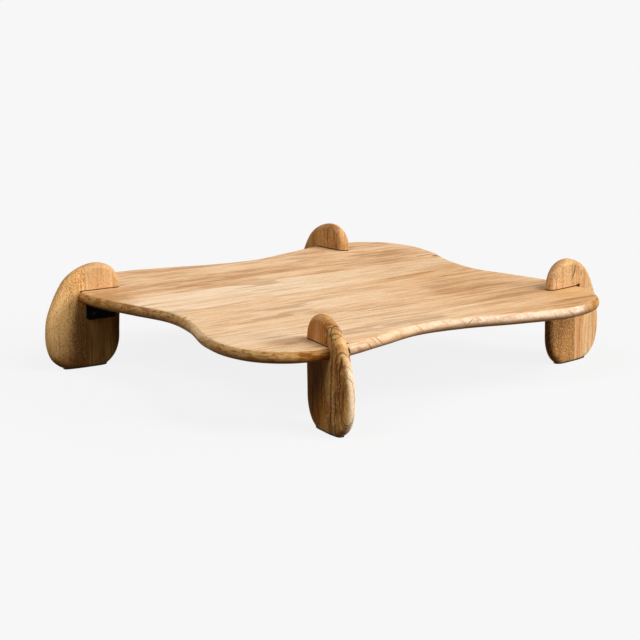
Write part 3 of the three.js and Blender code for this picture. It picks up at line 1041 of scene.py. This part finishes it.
# A patch or a stain is written as centre, reach each way and strength, a ring as centre and reach
LEG_WOODS = {
    "left_outer": {
        "pale": "#f0b46c", "deep": "#c07a32", "streaks": 0.5, "flecks": (0.75, 0.55),
        "fleck_size": 1.9 * MM, "pale_level": 0.48,
        # Painted light: a paler, golden place on the upper and middle part of the outer block
        "painted_light": [((0.125, -0.105, 0.0), (0.12, 0.085, 0.1), 0.85)],
        # Painted shade: darker near the seam, under the top, and towards the bottom
        "deeper": [
            ((0.08, -0.018, 0.0), (0.15, 0.05, 0.1), 0.55),
            ((0.0, -0.08, 0.0), (0.06, 0.14, 0.1), 0.7),
        ],
    },
    "left_upper": {
        "pale": "#ecc08c", "deep": "#be884e", "streaks": 0.6, "flecks": (0.6, 0.5),
        "fleck_size": 1.9 * MM,
    },
    # Painted shade: this lower block stands under the top and has deeper colours than the upper
    # block
    "left_lower": {"pale": "#ca9c5e", "deep": "#8a5c30", "streaks": 1.1, "flecks": (0.0, 0.2)},
    "front_outer": {
        "pale": "#fcc67c", "deep": "#aa6420", "streaks": 1.2, "streak_length": 0.12,
        "flecks": (0.5, 0.4), "veins": 0.12, "face": 0.4, "right": 1.0,
        "deeper": [((0.0, -0.06, 0.0), (0.05, 0.09, 0.1), 0.6)],
        "rings": [((0.262, -0.052, 0.008), (0.021, 0.016, 0.014))],
        "cracks": [
            crack(-0.088, 0.06, 0.211, wander=0.03, width=4.5 * MM),
            crack(-0.13, 0.16, 0.281, slant=0.34),
            crack(-0.045, 0.03, 0.186, wander=0.022, width=4 * MM),
            crack(-0.066, 0.0, 0.12, width=4 * MM),
        ],
        "stains": [((0.15, -0.105, 0.012), (0.07, 0.012, 0.012), 0.5)],
    },
    "front_upper": {"pale": "#fcca8a", "deep": "#d2904c", "streaks": 1.1, "face": 0.36},
    # Painted shade: this lower block stands under the top and has deeper colours than the upper
    # block
    "front_lower": {
        "pale": "#d39744", "deep": "#8a521a", "streaks": 1.2, "veins": 0.35, "face": 0.25,
        "cracks": [
            crack(0.002, 0.05, 0.171, width=4 * MM),
            crack(0.05, 0.03, 0.116, wander=0.03, width=4 * MM),
        ],
    },
    "right_outer": {
        "pale": "#fad6a4", "deep": "#d99c64", "streaks": 0.8, "flecks": (0.3, 0.2),
        "stains": [
            ((0.254, -0.034, 0.016), (0.012, 0.003, 0.02), 0.7),
            ((0.2218, -0.022, 0.016), (0.0045, 0.013, 0.03), 1.0),
        ],
    },
    "right_upper": {
        "pale": "#e8bd8a", "deep": "#b98350", "streaks": 0.4, "flecks": (0.5, 0.6),
        # Painted highlight near the top of the dome
        "painted_light": [((0.286, 0.02, 0.004), (0.02, 0.03, 0.02), 0.8)],
        "cracks": [
            crack(0.052, 0.238, 0.288, slant=-0.21),
            crack(0.036, 0.246, 0.284, slant=-0.16, wander=0.03),
        ],
    },
    # Painted shade: this lower block stands under the top and has deeper colours than the upper
    # block
    "right_lower": {
        "pale": "#c08444", "deep": "#854f20", "streaks": 0.7, "flecks": (0.55, 0.5),
        "fleck_size": 1.9 * MM, "pale_level": 0.51,
    },
    "back_outer": {"pale": "#e4b070", "deep": "#b87c3c", "flecks": (0.3, 0.0), "face": 0.15},
    "back_upper": {
        "pale": "#ecba80", "deep": "#b68044", "streaks": 0.9, "flecks": (0.4, 0.3), "face": 0.15,
        "stains": [((0.234, 0.062, -0.014), (0.016, 0.009, 0.02), 0.5)],
    },
    # Painted shade: this lower block stands under the top and has deeper colours than the upper
    # block
    "back_lower": {"pale": "#b98452", "deep": "#8f5c30", "flecks": (0.2, 0.0), "face": 0.3},
}

# From the middle of a leg's thickness: where its round edge turns into its flat faces
ROUND_EDGE_SPAN = (14.5 * MM, 15.9 * MM)
FLAT_FACE_SPAN = (15.3 * MM, 15.95 * MM)

# Heights between which the painted cream highlight of the round edge fades out
RIM_HIGHLIGHT_HEIGHTS = (0.175, 0.21)

# The painted shade in the gap over the top: half heights of the dark line, and how far outwards it
# runs from the axis
SLOT_SHADE_SPAN = (1.8 * MM, 4.0 * MM)
SLOT_SHADE_OUTER_END = -30 * MM


def shaded(s, colour, place, spots, shade):
    """The colour with soft patches of another colour in it, such as painted light and painted
    shade.
    """
    for centre, reach, strength in spots:
        mask = s.mask(PATCH, Place=place, Centre=centre, Reach=reach)
        colour = s.mix(mask * strength, colour, shade)
    return colour


def board_colour(s, wood, grain, sideways, up):
    """A leg block's streaky colour, with painted shade browning its flat faces and a painted cream
    highlight on the right-hand half of its round edge.
    """
    streak = s.step(grain["Streak"], *NOISE_SPAN, -0.5, 0.5) * wood["streaks"]
    dash = s.step(grain["Dash"], *NOISE_SPAN, -0.14, 0.14)
    even = s.step(grain["Blotch"], *NOISE_SPAN, 0.35, 0.65)
    lightness = s.math("ADD", even, streak + dash, clamp=True)
    colour = s.mix(lightness, wood["deep"], wood["pale"])
    # Painted shade: the flat faces are browned against the round edge
    flat_face_shade = s.step(abs(sideways), *FLAT_FACE_SPAN, 0.0, wood["face"])
    colour = s.mix(flat_face_shade, colour, FACE_SHADE_AND_END_BROWN)
    # Painted highlight: cream on the right-hand half of the round edge
    on_round_edge = s.step(abs(sideways), *ROUND_EDGE_SPAN, 1.0, 0.0)
    right_highlight = s.step(sideways, 0.0, 12 * MM, wood["right"], 0.0)
    rim = right_highlight * s.step(up, *RIM_HIGHLIGHT_HEIGHTS, 1.0, 0.2) * on_round_edge
    return s.mix(rim, colour, RIM_HIGHLIGHT)


def marked(s, colour, wood, place, seed):
    """The colour with the dark veins, knot rings, cracks and stains on it."""
    marks = s.mask(VEINS, Place=place, Seed=seed, Width=0.026) * wood["veins"]
    for centre, reach in wood["rings"]:
        marks = s.most(marks, s.mask(KNOT_RING, Place=place, Centre=centre, Reach=reach))
    for long_crack in wood["cracks"]:
        marks = s.most(marks, s.mask(LONG_CRACK, Place=place, **long_crack))
    for centre, reach, strength in wood["stains"]:
        mask = s.mask(PATCH, Place=place, Centre=centre, Reach=reach, Raggedness=1.2)
        marks = s.most(marks, mask * strength)
    return s.mix(marks * 0.9, colour, VEIN_AND_SLOT_SHADE_BROWN)


def leg_material(name, seed):
    wood = {**PLAIN_WOOD, **LEG_WOODS[name]}
    material, s, shader = new_material(f"{name}_wood")
    inwards, sideways, up = s.split(s.attribute("leg_place", "Vector"))
    place = s.join(up, inwards, sideways)
    grain = s.group(
        GRAIN, Place=place, Seed=seed, Heart_Offset=0.03, Streak_Width=0.014,
        Streak_Length=wood["streak_length"],
    )
    colour = board_colour(s, wood, grain, sideways, up)
    colour = fibred(s, colour, grain, 0.84, 1.11)
    # Patches of painted light
    colour = shaded(s, colour, place, wood["painted_light"], PAINTED_LIGHT_GOLD)
    flecks = s.group(
        FLECKS, Place=place, Seed=seed, Size=wood["fleck_size"], Pale_Level=wood["pale_level"],
    )
    colour = s.mix(flecks["Pale"] * wood["flecks"][0], colour, PALE_FLECK)
    colour = s.mix(flecks["Dark"] * wood["flecks"][1], colour, DARK_FLECK)
    # Darker patches; those on the left leg's outer block are painted shade
    colour = shaded(s, colour, place, wood["deeper"], DEEP_SHADE)
    thin_line = s.step(grain["Line"], 0.58, 0.66) * (0.55 * wood["streaks"])
    colour = s.mix(s.most(grain["Pore"] * 0.4, thin_line), colour, DARK_FLECK)
    colour = marked(s, colour, wood, place, seed)

    end = s.group(END_GRAIN, Place=place, Grain_Axis=(0.0, 0.0, 1.0), Seed=seed)
    end_shade = end["Mask"] * s.step(end["Mottle"], 0.35, 0.65, 0.1, 0.5)
    colour = s.mix(end_shade, colour, FACE_SHADE_AND_END_BROWN)
    seam = s.step(abs(inwards + LEG_SEAM_FROM_AXIS), 0.9 * MM, 0.1 * MM, 0.0, 0.6)
    # Painted shade: a dark line on the leg just above the top, where the slot's gap is
    from_slot_top = abs(up - (top_high.z + SLOT_GAP))
    slot_shade = s.step(from_slot_top, *SLOT_SHADE_SPAN, 1.0, 0.0)
    slot_shade = slot_shade * s.math("GREATER_THAN", inwards, SLOT_SHADE_OUTER_END)
    colour = s.mix(s.most(seam, slot_shade * 0.9), colour, VEIN_AND_SLOT_SHADE_BROWN)
    finish_wood(s, shader, grain, colour, 0.44, 0.58)
    return material


def make_legs():
    seam = Vector((-LEG_SEAM_FROM_AXIS, 0, 0))
    middle = Vector((0, 0, TOP_MIDDLE))
    inwards = Vector((1, 0, 0))
    up = Vector((0, 0, 1))
    blocks = {
        "outer": [(seam, -inwards)],
        "upper": [(seam, inwards), (middle, up)],
        "lower": [(seam, inwards), (middle, -up)],
    }
    for number, leg in enumerate(LEG_PLACES):
        matrix = leg_matrix(leg)
        whole = slotted(leg_blank(leg), matrix, SLOT_END_GAPS[leg])
        for step, (block, planes) in enumerate(blocks.items()):
            solid = whole.copy()
            for point, direction in planes:
                cut(solid, point, direction)
            piece = to_object(f"{leg}_leg_{block}", solid)
            smooth(piece)
            set_point_vectors(piece.data, "leg_place", [v.co for v in piece.data.vertices])
            piece.data.transform(matrix)
            seed = LEG_FIRST_SEED + len(blocks) * number + step
            material = leg_material(f"{leg}_{block}", seed)
            finish_piece(piece, material, "leg_wood", f"{leg}_leg_{block}_block")
        whole.free()


make_legs()


# Angle brackets

PLATE_FACE = -LEG_THICKNESS / 2 - PLATE_GAP
PLATE_TOP = top_low.z - PLATE_GAP
BRACKET_START = BRACKET_FROM_AXIS - BRACKET_LENGTH / 2
BRACKET_END = BRACKET_FROM_AXIS + BRACKET_LENGTH / 2


def rounded_rectangle(low, high, radius, steps):
    """Corner points of a flat rounded rectangle, anticlockwise."""
    corners = [
        (high[0] - radius, low[1] + radius, -math.pi / 2),
        (high[0] - radius, high[1] - radius, 0),
        (low[0] + radius, high[1] - radius, math.pi / 2),
        (low[0] + radius, low[1] + radius, math.pi),
    ]
    points = []
    for x, y, start in corners:
        for step in range(steps + 1):
            angle = start + step / steps * math.pi / 2
            points.append(Vector((x + radius * math.cos(angle), y + radius * math.sin(angle), 0)))
    return points


def bent_plate():
    """The flat blank, bent square round the bracket's outer bend; its back is on the wood."""
    radius = BRACKET_INNER_BEND + BRACKET_THICKNESS
    upright = BRACKET_DROP - radius
    level = BRACKET_REACH - radius
    bend = radius * math.pi / 2
    plate = bmesh.new()
    outline = rounded_rectangle(
        (BRACKET_START, -upright), (BRACKET_END, bend + level), BRACKET_CORNER, CORNER_STEPS,
    )
    plate.faces.new([plate.verts.new(p) for p in outline])
    for step in range(BEND_STEPS + 1):
        geometry = plate.verts[:] + plate.edges[:] + plate.faces[:]
        line = Vector((0, bend * step / BEND_STEPS, 0))
        bmesh.ops.bisect_plane(plate, geom=geometry, plane_co=line, plane_no=Vector((0, 1, 0)))
    middle_y = PLATE_FACE - radius
    middle_z = PLATE_TOP - radius
    for vertex in plate.verts:
        along = vertex.co.y
        angle = min(max(along / bend, 0), 1) * math.pi / 2
        straight_up = min(along, 0)
        straight_out = max(along - bend, 0)
        vertex.co.y = middle_y + radius * math.cos(angle) - straight_out
        vertex.co.z = middle_z + radius * math.sin(angle) + straight_up
    return plate


def black_material(name, shades, shade_levels, roughness, relief, fine, broad, **more):
    """A nearly black finish. Each noise is a scale and a detail: the broad one moves the colour
    between two shades, the fine one the roughness and the relief, a height in metres."""
    material, s, shader = new_material(name)
    place = s.object_place()
    shade = s.step(s.noise(place, broad[1], scale=broad[0]), *shade_levels)
    grit = s.noise(place, fine[1], scale=fine[0])
    s.feed(
        shader, Base_Color=s.mix(shade, *shades), Roughness=s.step(grit, *NOISE_SPAN, *roughness),
        **more,
    )
    bump(s, shader, grit, relief)
    return material


def powder_coat():
    return black_material(
        "black_powder_coat", ("#010101", "#050403"), (0.45, 0.8, 0.0, 0.6), (0.5, 0.66), 0.05 * MM,
        fine=(900.0, 2.0), broad=(45.0, 3.0), Specular_IOR_Level=DULL_GLOSS,
    )


def black_screw_steel():
    return black_material(
        "blackened_screw_steel", ("#0b0a0a", "#1c1a19"), (0.5, 0.75), (0.42, 0.6), 0.03 * MM,
        fine=(420.0, 3.0), broad=(420.0, 3.0), Metallic=0.85,
    )


def black_felt():
    return black_material(
        "black_felt", ("#0f0e0d", "#262422"), (0.4, 0.7), (0.9, 1.0), 0.2 * MM,
        fine=(1600.0, 3.0), broad=(1600.0, 3.0),
    )


def set_on_leg(piece, leg, edge_round, edge_degrees, material, slot, node):
    """Softens the edges of a piece made in a leg's own frame and sets it on that leg."""
    edges = piece.modifiers.new("soft_edges", "BEVEL")
    edges.width = edge_round
    edges.segments = EDGE_ROUND_STEPS
    edges.limit_method = "ANGLE"
    edges.angle_limit = math.radians(edge_degrees)
    apply_modifiers(piece)
    piece.data.transform(leg_matrix(leg))
    smooth(piece)
    finish_piece(piece, material, slot, node)


def make_brackets():
    material = powder_coat()
    for leg in LEG_PLACES:
        piece = to_object(f"{leg}_angle_bracket", bent_plate())
        thick = piece.modifiers.new("plate", "SOLIDIFY")
        thick.thickness = BRACKET_THICKNESS
        thick.offset = 1.0
        set_on_leg(
            piece, leg, BRACKET_EDGE_ROUND, BRACKET_EDGE_DEGREES, material, "bracket_steel",
            f"{leg}_bracket",
        )


make_brackets()


# Screws, by geometry nodes: one threaded screw, copied to each marked place

def screw_tree():
    tree = bpy.data.node_groups.new("bracket_screws", "GeometryNodeTree")

    def socket(label, way, kind):
        return tree.interface.new_socket(label, in_out=way, socket_type=kind)

    socket("Geometry", "INPUT", "NodeSocketGeometry")
    sizes = {
        "Length": SCREW_LENGTH, "Radius": SCREW_RADIUS, "Tip Length": SCREW_TIP_LENGTH,
        "Head Radius": SCREW_HEAD_RADIUS, "Head Height": SCREW_HEAD_HEIGHT,
        "Recess Radius": SCREW_RECESS_RADIUS, "Recess Depth": SCREW_RECESS_DEPTH,
        "Thread Pitch": SCREW_THREAD_PITCH, "Thread Depth": SCREW_THREAD_DEPTH,
    }
    for label, size in sizes.items():
        socket(label, "INPUT", NUMBER).default_value = size
    socket("Finish", "INPUT", "NodeSocketMaterial")
    socket("Geometry", "OUTPUT", "NodeSocketGeometry")
    s = Sketch(tree)
    given = s.outs(s.node("NodeGroupInput"))
    x, y, z = s.split(s.add("GeometryNodeInputPosition"))

    def form(kind, settings, **inputs):
        return s.add(f"GeometryNode{kind}", settings=settings, **inputs)

    # Domed head
    head = form(
        "MeshCylinder", {"fill_type": "NGON"}, Vertices=SCREW_HEAD_SIDES, Side_Segments=1,
        Fill_Segments=SCREW_DOME_RINGS, Radius=given["Head Radius"], Depth=given["Head Height"],
    )
    share = s.length(s.join(x, y, 0.0)) / given["Head Radius"]
    crown = s.math("SQRT", 1.0 - share * share * 0.8)
    top_height = given["Head Height"] * (crown * 0.75 + 0.25)
    domed = s.join(x, y, s.math("GREATER_THAN", z, 0.0) * top_height)
    head = form("SetPosition", {}, Geometry=head, Position=domed)

    # Six-sided recess
    recess = form(
        "MeshCylinder", {"fill_type": "NGON"}, Vertices=6, Radius=given["Recess Radius"],
        Depth=given["Recess Depth"] * 2.0,
    )
    on_top = s.join(0.0, 0.0, given["Head Height"])
    recess = form("Transform", {}, Geometry=recess, Translation=on_top)
    cut_out = {"operation": "DIFFERENCE", "solver": "EXACT"}
    head = form("MeshBoolean", cut_out, Mesh_1=head, Mesh_2=recess)

    # Threaded shank with a pointed tip
    shank = form(
        "MeshCylinder", {"fill_type": "TRIANGLE_FAN"}, Vertices=SCREW_SHANK_SIDES,
        Side_Segments=SCREW_SHANK_RINGS, Radius=given["Radius"], Depth=given["Length"],
    )
    depth = given["Length"] * 0.5 - z
    turns = s.math("ARCTAN2", y, x) / (2 * math.pi)
    phase = s.math("FRACT", depth / given["Thread Pitch"] + turns)
    radius = given["Radius"] - abs(phase * 2.0 - 1.0) * given["Thread Depth"]
    from_tip = (given["Length"] - depth) / given["Tip Length"]
    wide = radius / given["Radius"] * s.math("MINIMUM", from_tip + 0.04, 1.0)
    threaded = s.join(x * wide, y * wide, depth * -1.0)
    shank = form("SetPosition", {}, Geometry=shank, Position=threaded)

    joined = s.node("GeometryNodeJoinGeometry")
    s.feed(joined, head)
    s.feed(joined, shank)
    facing = form("InputNamedAttribute", {"data_type": "FLOAT_VECTOR"}, Name="facing")
    turned = s.add("FunctionNodeAlignRotationToVector", settings={"axis": "Z"}, Vector=facing)
    copies = form(
        "InstanceOnPoints", {}, Points=given["Geometry"], Instance=Value(s, joined.outputs[0]),
        Rotation=turned,
    )
    real = form("RealizeInstances", {}, Geometry=copies)
    return s.deliver(Geometry=form("SetMaterial", {}, Geometry=real, Material=given["Finish"]))


def screw_seats():
    """Where a bracket's four screws sit and which way their heads face, in the leg's frame."""
    seats = []
    for x in (BRACKET_START + SCREW_FROM_BRACKET_END, BRACKET_END - SCREW_FROM_BRACKET_END):
        upright = Vector((
            x, PLATE_FACE - BRACKET_THICKNESS - PLATE_GAP,
            PLATE_TOP - BRACKET_DROP + SCREW_FROM_FLANGE_EDGE,
        ))
        level = Vector((
            x, PLATE_FACE - BRACKET_REACH + SCREW_FROM_FLANGE_EDGE,
            PLATE_TOP - BRACKET_THICKNESS - PLATE_GAP,
        ))
        seats += [(upright, Vector((0, -1, 0))), (level, Vector((0, 0, -1)))]
    return seats


def make_screws():
    tree = screw_tree()
    steel = black_screw_steel()
    finish_input = next(item for item in tree.interface.items_tree if item.name == "Finish")
    for leg in LEG_PLACES:
        matrix = leg_matrix(leg)
        seats = screw_seats()
        mesh = bpy.data.meshes.new(f"{leg}_screws")
        mesh.from_pydata([matrix @ place for place, _ in seats], [], [])
        turn = matrix.to_3x3()
        set_point_vectors(mesh, "facing", [turn @ direction for _, direction in seats])
        piece = link(f"{leg}_bracket_screws", mesh)
        modifier = piece.modifiers.new("screws", "NODES")
        modifier.node_group = tree
        modifier[finish_input.identifier] = steel
        apply_modifiers(piece)
        smooth(piece)
        names = [f"{leg}_bracket_{part}_screw_{n}" for part in ("leg", "top") for n in (1, 2)]
        finish_piece(piece, steel, "screw_steel", *names)


make_screws()


# Foot pads

def sole_outline(leg):
    """The outline of a leg's flat sole, where its half-round edge is cut off."""
    outline = leg_outline(leg)
    far_side = []
    for p, n in zip(outline, outline_normals(outline)):
        if p.y < PAD_THICKNESS:
            inset = min((p.y - PAD_THICKNESS) / n.y, LEG_THICKNESS / 2)
            half = math.sqrt(inset * (LEG_THICKNESS - inset))
            far_side.append(Vector((p.x - n.x * inset, half, 0)))
    near_side = [Vector((p.x, -p.y, 0)) for p in far_side]
    return near_side + far_side[::-1]


def make_pads():
    felt = black_felt()
    for leg in LEG_PLACES:
        pad = bmesh.new()
        base = pad.faces.new([pad.verts.new(p) for p in sole_outline(leg)])
        raised = bmesh.ops.extrude_face_region(pad, geom=[base])["geom"]
        corners = [item for item in raised if isinstance(item, bmesh.types.BMVert)]
        bmesh.ops.translate(pad, verts=corners, vec=(0, 0, PAD_THICKNESS))
        bmesh.ops.recalc_face_normals(pad, faces=pad.faces)
        piece = to_object(f"{leg}_felt_pad", pad)
        set_on_leg(
            piece, leg, PAD_EDGE_ROUND, PAD_EDGE_DEGREES, felt, "foot_pad", f"{leg}_foot_pad",
        )


make_pads()


# Floor and light

FLOOR_HALF = 60.0
BACKGROUND_SEEN = 0.93
FLOOR_BOUNCE = (0.13, 0.1, 0.055, 1.0)
FLOOR_GLOW_SHARE = 0.92

# Name, direction it comes from, strength and angle in degrees
SUNS = [
    ("high_front_softbox", (0.27, -0.55, 0.79), 1.62, 26),
    ("low_front_softbox", (0.57, -0.75, 0.32), 1.95, 26),
    ("high_left_fill", (-0.66, -0.1, 0.74), 1.2, 30),
    ("right_rim_light", (0.9, -0.2, 0.35), 0.65, 30),
]
WORLD_TINT = (1.0, 0.8, 0.5, 1.0)
WORLD_STRENGTH = 0.045


def seen_ray(s):
    """1 for a ray from the camera, straight, mirrored or through glass; it shows the background."""
    ray = s.outs(s.node("ShaderNodeLightPath"))
    return s.most(ray["Is Camera Ray"], s.most(ray["Is Glossy Ray"], ray["Is Transmission Ray"]))


def make_floor():
    floor = bmesh.new()
    corners = [(-1, -1), (1, -1), (1, 1), (-1, 1)]
    floor.faces.new([floor.verts.new((x * FLOOR_HALF, y * FLOOR_HALF, 0)) for x, y in corners])
    piece = to_object("floor", floor)
    material, s = blank_material("pale_floor")
    seen = seen_ray(s)
    pale = (BACKGROUND_SEEN, BACKGROUND_SEEN, BACKGROUND_SEEN, 1.0)
    matt = s.add("ShaderNodeBsdfDiffuse", Color=s.mix(seen, FLOOR_BOUNCE, pale))
    glow = s.add("ShaderNodeEmission", Color=pale)
    blend = s.add("ShaderNodeMixShader", seen * FLOOR_GLOW_SHARE, matt, glow)
    s.feed(s.node("ShaderNodeOutputMaterial"), blend)
    piece.data.materials.append(material)


def make_suns():
    for name, place, strength, angle_degrees in SUNS:
        data = bpy.data.lights.new(name, "SUN")
        data.energy = strength
        data.angle = math.radians(angle_degrees)
        lamp = bpy.data.objects.new(name, data)
        lamp.rotation_euler = Vector(place).to_track_quat("Z", "Y").to_euler()
        scene.collection.objects.link(lamp)


def make_world():
    world = bpy.data.worlds.new("studio")
    scene.world = world
    world.use_nodes = True
    world.node_tree.nodes.clear()
    s = Sketch(world.node_tree)
    seen = seen_ray(s)
    background = s.add(
        "ShaderNodeBackground", Color=s.mix(seen, WORLD_TINT, (1.0, 1.0, 1.0, 1.0)),
        Strength=s.step(seen, 0.0, 1.0, WORLD_STRENGTH, BACKGROUND_SEEN),
    )
    s.feed(s.node("ShaderNodeOutputWorld"), background)


make_floor()
make_suns()
make_world()
